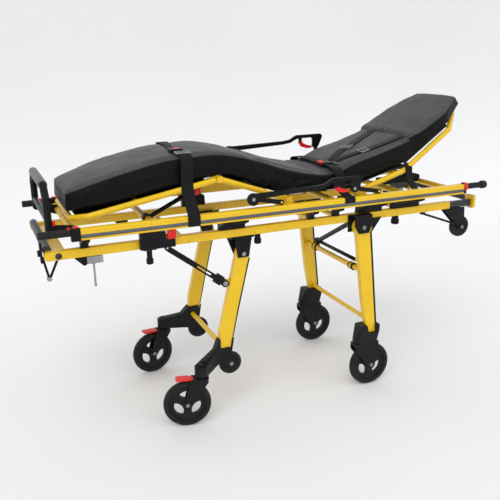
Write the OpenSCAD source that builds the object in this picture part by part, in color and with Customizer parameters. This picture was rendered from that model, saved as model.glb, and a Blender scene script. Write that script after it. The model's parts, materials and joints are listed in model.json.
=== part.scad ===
// Wheeled stretcher with folding legs, a sliding litter, a jointed mattress and drop-down side arms.
// Frame: +X is the head end, -Y is the left side, +Z is up and the floor is z = 0.

/* [Wheels] */
// Radius of the four caster wheels
wheel_r = 100; // [98:0.5:100]
// Width of a caster wheel's hub
hub_w = 36; // [32:1:36]
// Width of a caster wheel's tyre
tyre_w = 30; // [26:1:34]
// Radius of the loading wheels and of the small leg wheels
small_r = 50; // [46:1:50]

/* [Lower frame] */
// Half distance between the centre lines of the lower rails
lower_half = 242; // [242:0.1:242.4]
// Width of a lower rail
lower_w = 30; // [29:0.5:30]
// Height of a lower rail
lower_h = 34; // [30:0.5:34]
// Radius of the cross tubes of the chassis
cross_r = 13; // [10:0.5:14]

/* [Litter] */
// Half distance between the centre lines of the upper rails
upper_half = 291; // [291:0.1:291.4]
// Height of an upper rail
upper_h = 44; // [40:1:44]
// Width of an upper rail
upper_w = 30; // [28:1:30]
// Radius of the tubes of the jointed mattress frame
frame_r = 12; // [10:0.5:12]
// Radius of the push handle's tube
handle_r = 14; // [12:0.5:14]

/* [Mattress] */
// Half width of the mattress
pad_half = 214; // [200:1:215]
// Width of the leg strap's webbing
strap_w = 50; // [40:1:60]

/* [Hidden] */
$fn = 48;

run = 0.05;                               // radial clearance of every running pin
rail_z = 800;                             // centre of the lower rails
rail_low = rail_z - lower_h / 2;
rail_top = rail_z + lower_h / 2;
rail_in = lower_half - lower_w / 2;
rail_out = lower_half + lower_w / 2;
litter_z = 881;                           // centre of the upper rails
litter_in = upper_half - upper_w / 2;
cross_z = 873;                            // cross tubes of the litter
foot_pivot = [-190, 701];                 // x and z of the foot legs' pivot
head_pivot = [350, 760];                  // x and z of the head legs' pivot
foot_swivel = [-411, 284];                // x and |y| of the foot casters' swivel
head_swivel = [383, 272];                 // x and |y| of the head casters' swivel
foot_turn = [12.5, 8];                    // swivel of the left and right foot casters
foot_trail = 64;
head_trail = 25;
small_axle = [-257, 217];
load_axle = [902, 692];
lug_pin = [-270, 580];                    // strut's pivot on the left foot leg
strut_top = [-506, 762];
thigh_hinge = [0, 916];
knee = [-281, 1018];
back_hinge = [345, 900];
frame_y = 218;                            // side tubes of the mattress frame
grip_z = 890;
arm_lugs = [-43, 418];                    // x of the side arms' link pivots
lug_z = 914;
link_v_low = [-128, 26];                  // link from its lug to the arm, lowered
link_v_high = [8, 130];                   // the same, raised
handle_hinge = [-946, 893];
back_bend = [600, 979];                   // bend and top of the backrest's side tubes
back_top = [836, 1140];
back_cross = [556, 965.4];                // cross tube that the back strut pushes
knee_foot = [-560, cross_z];

// ---- helpers -------------------------------------------------------------
function arc(c, r, a0, a1, n) = [for (i = [0:n]) let (a = a0 + (a1 - a0) * i / n) c + r * [cos(a), sin(a)]];
function rounded(w, h, r) = concat(
    arc([w / 2 - r, h / 2 - r], r, 0, 90, 4), arc([r - w / 2, h / 2 - r], r, 90, 180, 4),
    arc([r - w / 2, r - h / 2], r, 180, 270, 4), arc([w / 2 - r, r - h / 2], r, 270, 360, 4));
function side(s) = s < 0 ? 0 : 1;

module both() { children(); mirror([0, 1, 0]) children(); }
module on_side(s) { if (s < 0) mirror([0, 1, 0]) children(); else children(); }

// Outline in x and z, made thick from y0 to y1
module plate(points, y0, y1) {
    translate([0, y1, 0]) rotate([90, 0, 0]) linear_extrude(y1 - y0) polygon(points);
}
// Outline in y and z, made long from x0 to x1
module bar(points, y, z, x0, x1) {
    translate([x0, y, z]) rotate([90, 0, 90]) linear_extrude(x1 - x0) polygon(points);
}
// Outline in x and y, made tall from z0 to z1
module slab(points, z0, z1) { translate([0, 0, z0]) linear_extrude(z1 - z0) polygon(points); }
// Round bar across the stretcher
module across(r, c, y0, y1) {
    translate([c.x, y0, c.y]) rotate([-90, 0, 0]) cylinder(r = r, h = y1 - y0);
}
// Round bar along the stretcher
module along(r, y, z, x0, x1) { translate([x0, y, z]) rotate([0, 90, 0]) cylinder(r = r, h = x1 - x0); }
// Box given by its lowest and highest corners
module box(a, b) { translate(a) cube(b - a); }
module rod(a, b, r) {
    d = b - a;
    translate(a) rotate([0, atan2(norm([d.x, d.y]), d.z), atan2(d.y, d.x)]) cylinder(r = r, h = norm(d));
}
// Bent tube with round corners
module tube_path(points, r, ease = 0.3) {
    for (i = [0:len(points) - 2]) rod(points[i], points[i + 1], r);
    for (i = [1:len(points) - 2]) translate(points[i]) sphere(r = r + ease);
}
module lens() {
    intersection() {
        translate([0, 25, -20]) cylinder(r = 39, h = 40);
        translate([0, -25, -20]) cylinder(r = 39, h = 40);
    }
}
// Spoked caster wheel about the Y axis
module caster_wheel() {
    t = tyre_w / 2;
    h = hub_w / 2;
    half = [[20, h], [20, 7], [72, 7], [74, 13], [78, 13], [80, t], [wheel_r - 8, t], [wheel_r - 2, t - 6],
        [wheel_r, t - 11]];
    low = [for (i = [len(half) - 1:-1:0]) [half[i].x, -half[i].y]];
    rotate([90, 0, 0]) difference() {
        rotate_extrude() polygon(concat([[6 + run, -h], [6 + run, h]], half, low));
        for (a = [90:120:330]) rotate([0, 0, a]) translate([0, 44, 0]) lens();
    }
}
module small_wheel(w, bore) {
    h = w / 2;
    rotate([90, 0, 0]) rotate_extrude() polygon([[bore, -h], [12, -h], [14, 2 - h], [26, 2 - h], [28, -h],
        [small_r - 4, -h], [small_r, 4 - h], [small_r, h - 4], [small_r - 4, h], [28, h], [26, h - 2],
        [14, h - 2], [12, h], [bore, h]]);
}

// ---- chassis -------------------------------------------------------------
module lower_rails() {
    color("gold") both() difference() {
        union() {
            bar(rounded(lower_w, lower_h, 4), lower_half, rail_z, -960, 831);
            across(lower_h / 2, [-960, rail_z], rail_in, rail_out);
        }
        bar(rounded(lower_w - 6, lower_h - 6, 2.5), lower_half, rail_z, -940, 832);
    }
}
module chassis_end_bars() {
    color("dimgray") {
        both() bar(rounded(lower_w - 6, lower_h - 6, 2.5), lower_half, rail_z, 780, 952);
        across(14, [970, 812], -214, 214);
        across(16, [-963, 819], -rail_in, rail_in);
    }
}
module chassis_cross_members() {
    color("gold") {
        for (x = [-450, 150, 600]) across(cross_r, [x, rail_z], -rail_in, rail_in);
        both() bar(rounded(56, 62, 12), lower_half, 806, 952, 966);
        box([-946, -rail_in, 803], [-898, rail_in, 809]);
    }
}
module foot_leg_brackets() {
    color("black") both() {
        box([-252, 195, 775], [-150, rail_out, rail_low]);
        plate([[-228, 776], [-214, 686], [-166, 686], [-150, 776]], 228, 233);
        plate([[-252, 776], [-218, 686], [-172, 686], [-165, 776]], 195, 200);
        across(8, foot_pivot, 195, 237);
    }
}
module head_leg_brackets() {
    color("black") both() {
        difference() {
            box([288, rail_out, 740], [398, rail_out + 2.5, 816]);
            across(14, head_pivot, rail_out - 1, rail_out + 4);
        }
        plate([[305, 812], [305, 770], [325, 735], [375, 735], [390, 770], [390, 812]], 288, 293);
        box([305, rail_out, 804], [390, 293, 816]);
        across(8, head_pivot, 262, 293);
        plate([[396, 790], [457, 790], [399, 714], [396, 714]], rail_out, 262);
    }
}
module slide_guides() {
    guides = [[-845, -815], [-300, -190], [100, 126], [220, 246], [338, 460], [518, 657]];
    section = [[230, rail_top], [rail_out, rail_top], [rail_out, 834], [298, 850], [298, 858.6], [236, 858.6]];
    color("black") both() {
        for (g = guides) bar(section, 0, 0, g.x, g.y);
        for (b = [[-586, 717, 14], [-130, 741, 15], [542, 745, 18]])
            translate([b.x, lower_half, b.y]) cylinder(r = b.z - 3, h = rail_low - b.y);
        for (b = [[-586, 720, 14], [-130, 744, 15], [542, 748, 18]])
            translate([b.x, lower_half, b.y]) cylinder(r = b.z, h = 18);
        box([-612, rail_in, 775], [-560, rail_out, rail_low]);
    }
}
module loading_wheel_brackets() {
    outline = [[800, rail_low], [831, rail_low], [831, 786], [914, 786], [918, 692], [886, 692]];
    color("black") both() {
        for (y = [224, 256]) {
            plate(outline, y, y + 4);
            across(16, load_axle, y, y + 4);
        }
        across(6, load_axle, 224, 266);
        across(10, load_axle, 260, 266);
        rod([686, 250, rail_low - 7], [858, 262, 712], 5);
        box([674, 243, rail_low - 9], [694, 257, rail_low]);
    }
}
module loading_wheel(s) {
    color("dimgray") translate([load_axle.x, s * lower_half, load_axle.y]) small_wheel(26, 6 + run);
}
module dock_fitting() {
    color("gold") {
        box([-988, -236, 773], [-980, -206, 848]);
        along(12, -221, 808, -996, -988);
        for (top = [[-986, 798], [-934, rail_low]])
            plate([top, top + [9, 0], [-960, 711], [-969, 711]], -245, -236);
        across(9, [-965, 713], -247, -236);
    }
}
module lock_catch() {
    color("silver") {
        box([-828, -249, 752], [-765, -245, rail_low]);
        box([-806, -246, 748], [-794, -236, 764]);
        translate([-800, -240, 660]) cylinder(r = 4, h = 90);
        translate([-800, -240, 660]) cylinder(r = 5.5, h = 6);
    }
}
module release_housing() {
    color("black") difference() {
        union() {
            box([-627, -280, 797], [-527, -rail_out, 850]);
            box([-627, -280, 785], [-490, -rail_out, 815]);
        }
        along(5.4, -270, 832, -556, -526);
    }
}
module release_button() {
    color("red") {
        plate([[-520, 819], [-492, 819], [-488, 826], [-488, 848], [-492, 855], [-520, 855]], -286, -262);
        along(5, -270, 832, -545, -519);
    }
}

// ---- foot legs -----------------------------------------------------------
leg_in = 201;
leg_out = 227;
module foot_leg() {
    outline = [[-230, 662], [-281, 457], [-302, 370], [-303, 268], [-263, 271], [-222, 456], [-171, 661],
        [-160.9, 693.7], [-219.1, 708.3]];
    hollow = [[-227, 650], [-278, 457], [-299, 370], [-300, 260], [-264, 260], [-225, 456], [-178, 650]];
    difference() {
        union() {
            plate(outline, leg_in, leg_out);
            across(30, foot_pivot, leg_in, leg_out);
        }
        plate(hollow, leg_in + 3, leg_out - 3);
        across(8 + run, foot_pivot, leg_in - 1, leg_out + 1);
    }
}
module foot_legs() {
    color("gold") {
        both() foot_leg();
        plate([[-274, 591], [-247, 597], [-252, 565], [-274, 569]], -218, -210);
        across(12, lug_pin, -218, -210);
        across(5, lug_pin, -224, -204);
    }
}
module foot_leg_cross_tube() { color("gold") across(11, [-286, 296], -195.9, 195.9); }
module foot_caster_arms() {
    color("black") both() difference() {
        union() {
            hull() {
                translate([foot_swivel.x, foot_swivel.y, 220]) cylinder(r = 28, h = 42, $fn = 32);
                box([-336, 215, 226], [-330, 246, 296]);
            }
            hull() {
                box([-336, 215, 226], [-330, 246, 296]);
                box([-312, 196, 230], [-308, 232, 330]);
            }
            box([-309, 196, 240], [-303, 232, 335]);
            box([-309, 196, 272], [-256, 200.9, 335]);
            plate([[-258, 275], [-253, 275], [-242, 335], [-247.5, 335]], 196, 232);
            plate([[-309, 296], [-309, 232], [-270, 202], [-244, 202], [-240, 232], [-262, 278]], 196, 200.9);
            plate([[-309, 296], [-309, 232], [-270, 202], [-244, 202], [-240, 232], [-262, 296]], 227.1, 232);
            across(5, small_axle, 196, 232);
        }
        translate([foot_swivel.x, foot_swivel.y, 210]) cylinder(r = 8 + run, h = 60);
        translate([foot_swivel.x, foot_swivel.y, 262.1]) cylinder(r = 17, h = 30);
    }
}
module small_leg_wheel(s) {
    color("dimgray") translate([small_axle.x, s * 214, small_axle.y]) small_wheel(24, 5 + run);
}
module foot_leg_strut() {
    dir = strut_top - lug_pin;
    len_s = norm(dir);
    color("black") translate([lug_pin.x, -214, lug_pin.y]) rotate([0, -atan2(dir.y, dir.x), 0]) difference() {
        union() {
            across(16, [0, 0], -10, 10);
            box([0, -10, -11], [len_s, 10, 11]);
            across(11, [len_s, 0], -10, 10);
            box([18, -10, -20], [50, 10, 20]);
        }
        box([-18, -4.4, -22], [14.5, 4.4, 22]);
        box([70, -12, -4], [150, 12, 4]);
        across(5 + run, [0, 0], -12, 12);
        across(6, [len_s, 0], -12, 12);
    }
}

// ---- casters: drawn about their own swivel axis, then placed ------------------
module at_foot(s) {
    translate([foot_swivel.x, s * foot_swivel.y, 0]) rotate([0, 0, s * foot_turn[side(s)]]) children();
}
module at_head(s) { translate([head_swivel.x, s * head_swivel.y, 0]) children(); }
module foot_fork(s) {
    cheek = [[-45, 213], [26, 213], [26, 196], [-foot_trail + 14, 92], [-foot_trail - 14, 92], [-50, 196]];
    color("black") at_foot(s) {
        translate([0, 0, 203]) cylinder(r = 30, h = 10);
        box([-30, -24, 203], [24, 24, 213]);
        translate([0, 0, 213]) cylinder(r = 20, h = 6.6);
        translate([0, 0, 213]) cylinder(r = 8, h = 58);
        translate([0, 0, 262.4]) cylinder(r = 14, h = 8);
        for (y = [-24, 19]) {
            plate(cheek, y, y + 5);
            across(14, [-foot_trail, wheel_r], y, y + 5);
        }
        across(6, [-foot_trail, wheel_r], -24, 24);
        across(3, [-39, 208], -24, 24);
    }
}
module foot_wheel(s) { color("dimgray") at_foot(s) translate([-foot_trail, 0, wheel_r]) caster_wheel(); }
module brake_pedal(s) {
    color("red") at_foot(s) difference() {
        union() {
            across(5, [-39, 208], -16, 16);
            plate([[-39, 206], [-54, 208], [-54, 213], [-39, 213]], -16, 16);
            plate([[-53, 208], [-105, 210], [-109, 214], [-105, 218], [-53, 217]], -18, 18);
        }
        across(3 + run, [-39, 208], -20, 20);
    }
}
module head_fork(s) {
    cheek = [[-60, 214], [60, 214], [60, 182], [head_trail + 18, 92], [head_trail - 18, 92], [-60, 182]];
    color("black") at_head(s) {
        translate([0, 0, 204]) cylinder(r = 32, h = 10);
        box([-60, -24, 204], [60, 24, 214]);
        translate([0, 0, 214]) cylinder(r = 20, h = 1.7);
        translate([0, 0, 214]) cylinder(r = 8, h = 42);
        for (y = [-24, 19]) {
            plate(cheek, y, y + 5);
            across(18, [head_trail, wheel_r], y, y + 5);
        }
        across(6, [head_trail, wheel_r], -24, 24);
    }
}
module head_wheel(s) { color("dimgray") at_head(s) translate([head_trail, 0, wheel_r]) caster_wheel(); }

// ---- head legs -----------------------------------------------------------
head_in = 260;
head_out = 286;
head_foot = [[386, 262], [430, 262], [426, 302], [382, 302]];
module head_leg() {
    outline = [[307, 760], [319, 737], [357, 415], [386, 262], [428, 262], [384, 736], [393, 760]];
    hollow = [[324, 730], [360, 415], [389, 255], [425, 255], [379, 730]];
    difference() {
        union() {
            plate(outline, head_in, head_out);
            across(43, head_pivot, head_in, head_out);
        }
        plate(hollow, head_in + 3, head_out - 3);
        across(8 + run, head_pivot, head_in - 1, head_out + 1);
    }
}
module head_legs() { color("gold") both() head_leg(); }
module head_leg_cross_tubes() {
    color("gold") {
        across(12, head_pivot, -head_in, head_in);
        across(12, [369, 551], -head_in, head_in);
        across(10, [402, 315], -head_in, head_in);
    }
    color("black") both() difference() {
        across(17, [369, 551], 157, 190);
        across(12, [369, 551], 156, 191);
    }
    color("black") across(7.5, [378, 582], -190, 190);
}
module head_leg_brace() {
    color("black") difference() {
        union() {
            across(20, head_pivot, -195, -172);
            rod([350, -183, 760], [378, 168, 582], 11);
            across(15, [378, 582], 158, 182);
        }
        across(12 + run, head_pivot, -215, -115);
        across(7.5 + run, [378, 582], 130, 200);
    }
}
module head_caster_sockets() {
    color("black") both() difference() {
        hull() {
            for (x = [-30, 30])
                translate([head_swivel.x + x, head_swivel.y, 216]) cylinder(r = 30, h = 19, $fn = 32);
            box([348, 242, 270], [442, 302, 300]);
        }
        plate([[385.6, 261.8], [428.2, 261.8], [424.4, 302], [378, 302]], head_in - 0.1, 310);
        translate([head_swivel.x, head_swivel.y, 210]) cylinder(r = 8 + run, h = 48);
    }
}

// ---- litter --------------------------------------------------------------
module upper_rails() {
    color("gold") both() {
        difference() {
            bar(rounded(upper_w, upper_h, 6), upper_half, litter_z, -847, 865);
            bar(rounded(upper_w - 6, upper_h - 6, 3.5), upper_half, litter_z, -848, 866);
        }
        for (h = [[thigh_hinge, 930], [back_hinge, 914]]) {
            box([h[0].x - 14, 262, 884], [h[0].x + 14, litter_in, h[1]]);
            across(6, h[0], frame_y - 12, 263);
        }
        for (x = arm_lugs) {
            plate([[x - 20, 902], [x - 11, lug_z], [x + 11, lug_z], [x + 20, 902]], 278, 288);
            across(11, [x, lug_z], 278, 288);
            across(5, [x, lug_z], 278, 294.6);
        }
    }
}
module litter_end_fittings() {
    color("black") both() {
        difference() {
            bar(rounded(34, 48, 7), upper_half, litter_z, -880, -847);
            along(8 + run, upper_half, grip_z, -882, -846);
        }
        difference() {
            union() {
                box([865, 278, 860], [880, 304, 884]);
                along(18, upper_half, grip_z, 865, 885);
            }
            along(8 + run, upper_half, grip_z, 864, 887);
        }
        difference() {
            union() {
                plate([[-862, 852], [-946, 882], [-950, 904], [-862, 894]], 190, 199);
                across(20, [-862, cross_z], 188, 201);
                across(11, handle_hinge, 190, 199);
            }
            across(cross_r + run, [-862, cross_z], 186, 203);
        }
        across(5, handle_hinge, 190, 230);
    }
}
module upper_cross_tubes() {
    color("gold") {
        for (x = [-560, 60, 250, 600, 840]) across(cross_r, [x, cross_z], -litter_in, litter_in);
        across(cross_r, [-862, cross_z], -274, 274);
    }
}
module push_handle() {
    x = handle_hinge.x;
    w = 215;
    top = 1062 - handle_r;
    color("black") difference() {
        union() {
            tube_path([[x, -w, 893], [x, -w, top - 45], [x, 45 - w, top], [x, w - 45, top], [x, w, top - 45],
                [x, w, 893]], handle_r);
            rod([x, -w, 925], [x, w, 925], handle_r - 2);
            for (y = [-w, w]) across(handle_r, handle_hinge, y - handle_r, y + handle_r);
            rod([x, 165 - w, top], [x, w - 165, top], handle_r + 0.5);
        }
        for (y = [-w, w]) across(5 + run, handle_hinge, y - 20, y + 20);
    }
}
module foot_grip(s) {
    color("black") {
        along(14, s * upper_half, grip_z, -996, -880.4);
        along(8, s * upper_half, grip_z, -881, -690);
    }
}
module head_grip(s) {
    color("black") {
        along(13, s * upper_half, grip_z, 885.4, 970);
        along(18, s * upper_half, grip_z, 965, 996);
        along(8, s * upper_half, grip_z, 700, 886);
    }
}

// ---- jointed mattress frame -------------------------------------------------
module calf_frame() {
    end = [-860, 914];
    dir = (knee - end) / norm(knee - end);
    start = knee - 17 * dir;
    color("gold") {
        tube_path([[start.x, -frame_y, start.y], [end.x + 60 * dir.x, -frame_y, end.y + 60 * dir.y],
            [end.x, -frame_y + 50, end.y], [end.x, frame_y - 50, end.y],
            [end.x + 60 * dir.x, frame_y, end.y + 60 * dir.y], [start.x, frame_y, start.y]], frame_r, 0.05);
        across(9, end + 250 * dir, 4 - frame_y, frame_y - 4);
        both() {
            difference() {
                plate([knee - 34 * dir + [0, 11], knee - 34 * dir - [0, 11], knee - [2, 11], knee + [-2, 11]],
                    196, 204);
                across(6 + run, knee, 190, 210);
            }
            difference() {
                across(11, knee, 196, 204);
                across(6 + run, knee, 190, 210);
            }
            plate([knee - 34 * dir + [0, 8], knee - 34 * dir - [0, 8], knee - 18 * dir - [0, 8],
                knee - 18 * dir + [0, 8]], 202, frame_y - 3);
        }
    }
}
module thigh_frame() {
    color("gold") {
        both() difference() {
            union() {
                rod([thigh_hinge.x, frame_y, thigh_hinge.y], [knee.x, frame_y, knee.y], frame_r);
                across(frame_r + 2, thigh_hinge, frame_y - 12.5, frame_y + 12.5);
                across(frame_r + 2, knee, frame_y - 12.5, frame_y + 12.5);
            }
            across(6 + run, thigh_hinge, 200, 240);
        }
        both() across(6, knee, 189, 207);
        across(frame_r - 1, knee, -190, 190);
        across(9, (thigh_hinge + knee) / 2, 4 - frame_y, frame_y - 4);
    }
}
module back_frame() {
    color("gold") difference() {
        union() {
            tube_path([[back_hinge.x, -frame_y, back_hinge.y], [back_bend.x, -frame_y, back_bend.y],
                [back_top.x, -frame_y + 12, back_top.y], [912, -130, 1199], [912, 130, 1199],
                [back_top.x, frame_y - 12, back_top.y], [back_bend.x, frame_y, back_bend.y],
                [back_hinge.x, frame_y, back_hinge.y]], frame_r);
            both() across(frame_r + 2, back_hinge, frame_y - 12.5, frame_y + 12.5);
            across(9, back_cross, 4 - frame_y, frame_y - 4);
        }
        both() across(6 + run, back_hinge, 200, 240);
    }
}
module knee_strut() {
    tip = [-296, 997];
    color("black") difference() {
        union() {
            rod([knee_foot.x, -135, knee_foot.y], [tip.x, -135, tip.y], 9);
            across(20, knee_foot, -150, -120);
            across(11, tip, -144, -126);
        }
        across(cross_r + run, knee_foot, -160, -110);
    }
}
module back_strut() {
    dir = [cos(13.5), -sin(13.5)];
    neck = back_cross + 120 * dir;
    foot = back_cross + 280 * dir;
    color("black") difference() {
        union() {
            across(18, back_cross, -12, 12);
            rod([back_cross.x, 0, back_cross.y], [neck.x, 0, neck.y], 6);
            rod([neck.x, 0, neck.y], [foot.x, 0, foot.y], 9);
            across(8, foot, -6, 6);
        }
        across(9 + run, back_cross, -30, 30);
    }
}

// ---- side arms -------------------------------------------------------------
module arm(s) {
    v = s < 0 ? link_v_low : link_v_high;
    rear = [arm_lugs[0], lug_z] + v;
    front = [arm_lugs[1], lug_z] + v;
    g = front - [290, 940];
    outline = [for (p = [[-171, 922], [-150, 940], [110, 952], [150, 957], [168, 966], [186, 974], [200, 976],
        [268, 977], [274, 968], [276, 930], [284, 923], [298, 923], [308, 934], [327, 975], [327, 984],
        [318, 992], [186, 992], [172, 986], [150, 973], [110, 968], [-150, 962], [-171, 964]]) p + g];
    color("black") on_side(s) {
        plate(outline, 295, 306);
        across(25, rear, 295, 306);
        across(17, front, 295, 306);
        for (c = [rear, front]) across(5, c, 288.2, 296);
        across(3, [205, 958] + g, 289, 296);
        plate([[196, 950] + g, [212, 950] + g, [214, 978] + g, [196, 978] + g], 295, 298);
    }
}
module arm_lever(s) {
    v = s < 0 ? link_v_low : link_v_high;
    g = [arm_lugs[1], lug_z] + v - [290, 940];
    outline = [for (p = [[199, 964], [198, 950], [206, 936], [236, 926], [262, 926], [268, 932], [262, 938],
        [240, 942], [218, 952], [212, 964]]) p + g];
    color("red") on_side(s) difference() {
        plate(outline, 289, 294.7);
        across(3 + run, [205, 958] + g, 285, 298);
    }
}
module link(s, i, bore_top) {
    v = s < 0 ? link_v_low : link_v_high;
    a = [arm_lugs[i], lug_z];
    w = 9 * [-v.y, v.x] / norm(v);
    color("black") on_side(s) difference() {
        union() {
            plate([a + w, a - w, a + v - w, a + v + w], 288.5, 294.3);
            across(10.5, a, 288.5, 294.3);
            across(12, a + v, 288.5, 294.3);
        }
        across(5 + run, a, 280, 300);
        across(bore_top, a + v, 280, 300);
    }
}

// ---- mattress and straps ------------------------------------------------------
module pad(outline, w) { plate(outline, -w, w); }
module calf_pad() {
    color("dimgray") intersection() {
        pad([[-876, 926], [-696, 957], [-499, 992], [-322, 1024], [-356, 1110], [-372, 1118], [-492, 1112],
            [-686, 1072], [-874, 1013]], pad_half);
        slab([[-880, -169], [-690, -pad_half - 1], [-300, -pad_half - 1], [-300, pad_half + 1],
            [-690, pad_half + 1], [-880, 169]], 900, 1200);
    }
}
module thigh_pad() {
    color("dimgray") pad([[-256, 1025], [-8, 936], [-8, 1046], [-106, 1078], [-256, 1116], [-280, 1117],
        [-288, 1112], [-262, 1040]], pad_half);
}
module seat_pad() {
    color("dimgray") pad([[6, 932], [306, 932], [226, 1000], [150, 1008], [6, 1042]], pad_half);
}
module back_pad() {
    color("dimgray") intersection() {
        pad([[343, 934], [612, 1008], [846, 1172], [942, 1241], [914, 1288], [767, 1203], [659, 1149],
            [624, 1114], [332, 1025]], pad_half);
        slab([[290, -pad_half - 1], [790, -pad_half - 1], [850, -202], [945, -147], [945, 147], [850, 202],
            [790, pad_half + 1], [290, pad_half + 1]], 900, 1300);
    }
}
module leg_strap() {
    y = pad_half + 0.5;
    t = y + 3;
    color("dimgray") translate([-402, 0, 1117]) rotate([0, -3, 0]) bar([[-t, -96], [-t, 4], [t, 4], [t, -96],
        [y, -96], [y, 1], [-y, 1], [-y, -96]], 0, 0, -strap_w / 2, strap_w / 2);
}
module harness() {
    color("dimgray") {
        for (s = [-1, 1]) rod([330, s * 120, 1032], [560, s * 60, 1104], 4);
        translate([392, 0, 1048]) rotate([0, -17, 0]) box([-30, -30, 0], [30, 30, 12]);
    }
}

lower_rails();
chassis_end_bars();
chassis_cross_members();
foot_leg_brackets();
head_leg_brackets();
slide_guides();
loading_wheel_brackets();
dock_fitting();
lock_catch();
release_housing();
release_button();
loading_wheel(-1);  // loading_wheel_left
loading_wheel(1);  // loading_wheel_right
foot_legs();
foot_leg_cross_tube();
foot_caster_arms();
foot_leg_strut();
small_leg_wheel(-1);  // small_wheel_left
small_leg_wheel(1);  // small_wheel_right
foot_fork(-1);  // foot_fork_left
foot_fork(1);  // foot_fork_right
foot_wheel(-1);  // foot_wheel_left
foot_wheel(1);  // foot_wheel_right
brake_pedal(-1);  // brake_pedal_left
brake_pedal(1);  // brake_pedal_right
head_legs();
head_leg_cross_tubes();
head_leg_brace();
head_caster_sockets();
head_fork(-1);  // head_fork_left
head_fork(1);  // head_fork_right
head_wheel(-1);  // head_wheel_left
head_wheel(1);  // head_wheel_right
upper_rails();
litter_end_fittings();
upper_cross_tubes();
push_handle();
foot_grip(-1);  // foot_grip_left
foot_grip(1);  // foot_grip_right
head_grip(-1);  // head_grip_left
head_grip(1);  // head_grip_right
calf_frame();
thigh_frame();
back_frame();
arm(-1);  // arm_left
arm(1);  // arm_right
arm_lever(-1);  // arm_lever_left
arm_lever(1);  // arm_lever_right
link(-1, 0, 5 + run);  // rear_link_left
link(1, 0, 5 + run);  // rear_link_right
link(-1, 1, 5.5);  // front_link_left
link(1, 1, 5.5);  // front_link_right
knee_strut();
back_strut();
calf_pad();
thigh_pad();
seat_pad();
back_pad();
leg_strap();
harness();
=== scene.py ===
import json
import math

import bmesh
import bpy
import numpy as np
from mathutils import Matrix, Vector, noise
from mathutils.bvhtree import BVHTree


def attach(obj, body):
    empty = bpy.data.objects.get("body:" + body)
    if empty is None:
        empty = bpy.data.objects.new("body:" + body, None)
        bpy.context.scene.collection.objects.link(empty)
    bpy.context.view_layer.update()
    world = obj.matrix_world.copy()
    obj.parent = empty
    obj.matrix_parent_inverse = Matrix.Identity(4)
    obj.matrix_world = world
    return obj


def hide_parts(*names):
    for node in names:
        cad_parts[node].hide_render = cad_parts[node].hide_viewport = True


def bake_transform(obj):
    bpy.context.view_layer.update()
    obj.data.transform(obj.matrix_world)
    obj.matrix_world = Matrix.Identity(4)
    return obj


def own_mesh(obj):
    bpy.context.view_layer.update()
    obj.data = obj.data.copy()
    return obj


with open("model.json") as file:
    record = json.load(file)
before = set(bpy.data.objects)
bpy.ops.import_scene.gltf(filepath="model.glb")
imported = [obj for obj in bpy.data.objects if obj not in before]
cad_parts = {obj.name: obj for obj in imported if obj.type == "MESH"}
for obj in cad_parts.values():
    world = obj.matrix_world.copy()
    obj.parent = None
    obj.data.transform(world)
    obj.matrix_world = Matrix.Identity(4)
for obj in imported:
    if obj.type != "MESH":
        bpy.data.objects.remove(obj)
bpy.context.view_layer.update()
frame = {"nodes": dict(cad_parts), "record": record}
SIDES = (("left", -1), ("right", 1))
RAIL_Y = 0.291              # middle of an upper rail
RAIL_OUTER_Y = 0.3060       # its outer face
GRIP_Z = 0.890              # axis of the carrying grips
CASTER_R, SMALL_R = 0.100, 0.050
WEB_THICK = 0.0026          # every strap
WASHER = 0.0016             # thickness of a bolt's washer
JOINT = {j["name"]: j for j in frame["record"]["behaviour"]["joints"]}


def joint_at(name):
    return Vector(JOINT[name]["pos_m"])


def joint_axis(name):
    return Vector(JOINT[name]["axis"]).normalized()


# ---- camera ------------------------------------------------------------------
CAMERA_AT = (-1.1852, -2.6810, 1.5073)
CAMERA_TURN, CAMERA_DOWN, CAMERA_ROLL = math.radians(-22.7), math.radians(16.66), math.radians(-1.17)
CAMERA_LENS = 48.32


def make_camera():
    a, e, r = CAMERA_TURN, CAMERA_DOWN, CAMERA_ROLL
    back = Vector((math.sin(a) * math.cos(e), -math.cos(a) * math.cos(e), math.sin(e)))
    right = (-back).cross(Vector((0, 0, 1))).normalized()
    up = right.cross(-back)
    x = math.cos(r) * right + math.sin(r) * up
    y = -math.sin(r) * right + math.cos(r) * up
    data = bpy.data.cameras.new("camera")
    data.lens, data.sensor_width = CAMERA_LENS, 36
    cam = bpy.data.objects.new("camera", data)
    cam.matrix_world = Matrix.Translation(CAMERA_AT) @ Matrix((x, y, back)).transposed().to_4x4()
    bpy.context.collection.objects.link(cam)
    bpy.context.scene.camera = cam


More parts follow.
